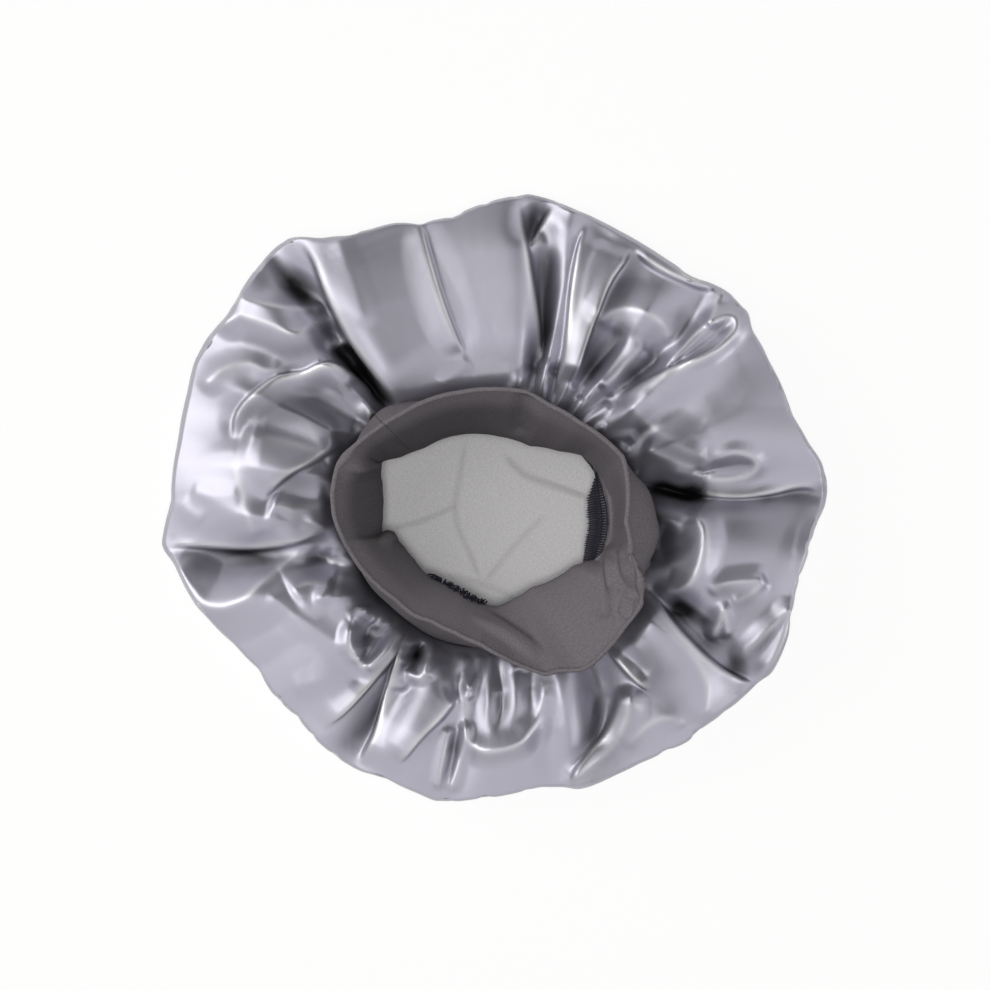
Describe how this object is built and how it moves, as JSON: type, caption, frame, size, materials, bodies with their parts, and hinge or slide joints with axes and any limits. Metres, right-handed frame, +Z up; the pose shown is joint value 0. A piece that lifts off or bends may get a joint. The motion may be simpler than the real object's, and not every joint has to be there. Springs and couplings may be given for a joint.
{
  "type": "hair bonnet",
  "caption": "Satin sleep bonnet lying crown down with its opening up: a gathered puffed satin crown sewn by an overlocked seam to a wide knitted stretch band, folded double.",
  "frame": {"origin": "on the surface the bonnet lies on, under the middle of the satin's outline seen from above", "axes": "+Z up, out of the bonnet's opening; +X along the longest extent, to the right of the picture; +Y up the picture"},
  "size_m": [0.34, 0.31, 0.0737],
  "materials": {
    "satin": "glossy silver-grey satin outside, matte light grey on the reverse",
    "knit": "matte warm dark grey fine knit",
    "overlock_thread": "matte near-black sewing thread",
    "grey_thread": "matte grey sewing thread"
  },
  "bodies": {
    "root": {"satin_crown": "satin", "knit_band": "knit", "band_join_thread": "grey_thread", "gathering_thread": "grey_thread", "overlock_upper_looper": "overlock_thread", "overlock_lower_looper": "overlock_thread", "overlock_left_needle": "overlock_thread", "overlock_right_needle": "overlock_thread"}
  },
  "joints": []
}
